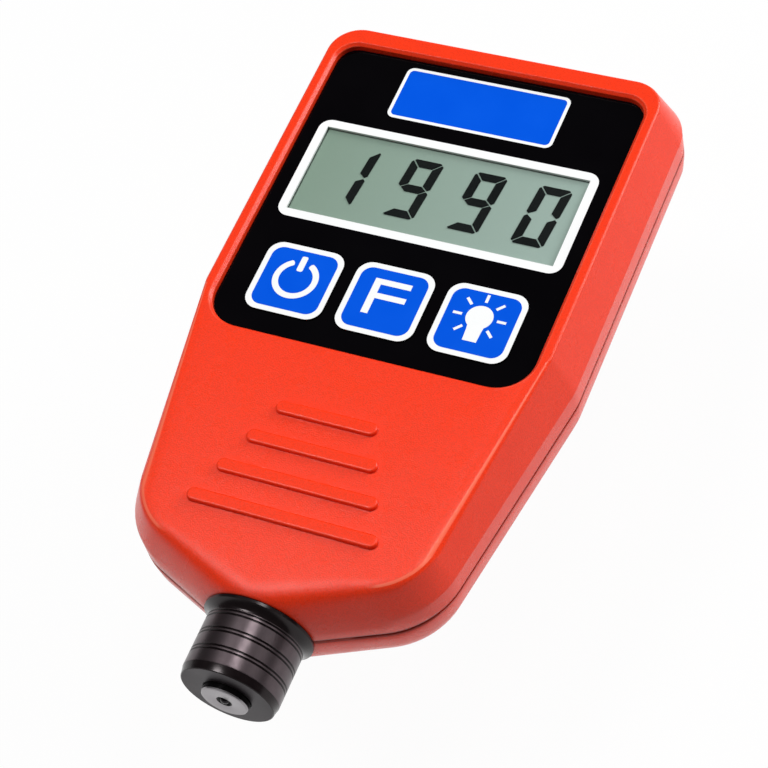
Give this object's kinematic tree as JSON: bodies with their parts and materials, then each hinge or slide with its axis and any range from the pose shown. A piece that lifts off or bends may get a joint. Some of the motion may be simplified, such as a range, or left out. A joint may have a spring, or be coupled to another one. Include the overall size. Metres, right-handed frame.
{
  "type": "coating thickness gauge",
  "caption": "Hand-held coating thickness gauge with a two-part housing, sunk display panel, sprung keys, battery door and a turned probe barrel with a sprung sensor plunger.",
  "frame": {"origin": "middle of the bounding box on the plane of the flat back", "axes": "+Z out of the display, +Y to the top end of the gauge, +X to the right as the display is read; the probe points towards -Y"},
  "size_m": [0.0646, 0.1218, 0.0213],
  "materials": {
    "housing_red": "fine spark-eroded texture, satin",
    "panel_black": "gloss printed film",
    "window_clear": "clear, polished",
    "lcd_glass": "grey-green polariser",
    "light_white": "diffuse white",
    "strip_rubber": "matte elastomer",
    "board_green": "solder resist",
    "chip_black": "moulded epoxy",
    "socket_cream": "moulded nylon",
    "key_blue": "printed satin key",
    "cell_wrap": "plain film wrap",
    "contact_steel": "nickel plated",
    "screw_black": "black oxide",
    "barrel_anodised": "turned, black anodised",
    "plunger_metal": "turned and polished",
    "coil_copper": "enamelled copper wire",
    "core_iron": "plain ferrite",
    "ball_steel": "polished hard tip",
    "lead_rubber": "insulated wire"
  },
  "bodies": {
    "housing": {"front_shell": "housing_red", "rear_shell": "housing_red", "face_overlay": "panel_black", "display_window": "window_clear", "display_glass": "lcd_glass", "backlight_panel": "light_white", "contact_strips": "strip_rubber", "circuit_board": "board_green", "controller_chip": "chip_black", "probe_socket": "socket_cream", "key_switches": "chip_black", "cell_left": "cell_wrap", "cell_right": "cell_wrap", "contact_positive": "contact_steel", "contact_negative": "contact_steel", "contact_bridge": "contact_steel", "board_screws": "contact_steel", "housing_screws": "screw_black", "probe_barrel": "barrel_anodised", "probe_plug": "contact_steel", "probe_spring": "contact_steel", "probe_leads": "lead_rubber"},
    "door": {"battery_door": "housing_red"},
    "power": {"key_power": "key_blue"},
    "function": {"key_function": "key_blue"},
    "light": {"key_light": "key_blue"},
    "plunger": {"sensor_plunger": "plunger_metal", "sensor_coil": "coil_copper", "sensor_core": "core_iron", "contact_ball": "ball_steel"}
  },
  "joints": [
    {"name": "power_press", "type": "slide", "parent": "housing", "child": "power", "axis": [0, 0, -1], "range_m": [0, 0.00035], "stiffness_N_per_m": 3000, "springref_m": -0.0002},
    {"name": "function_press", "type": "slide", "parent": "housing", "child": "function", "axis": [0, 0, -1], "range_m": [0, 0.00035], "stiffness_N_per_m": 3000, "springref_m": -0.0002},
    {"name": "light_press", "type": "slide", "parent": "housing", "child": "light", "axis": [0, 0, -1], "range_m": [0, 0.00035], "stiffness_N_per_m": 3000, "springref_m": -0.0002},
    {"name": "plunger_press", "type": "slide", "parent": "housing", "child": "plunger", "axis": [0, 1, 0], "range_m": [0, 0.001], "stiffness_N_per_m": 1200, "springref_m": -0.0008, "deforming": ["probe_spring"]},
    {"name": "door_hinge", "type": "hinge", "parent": "housing", "child": "door", "pos_m": [0, 0.00215, 0.0001], "axis": [-1, 0, 0], "range_deg": [0, 40]}
  ]
}
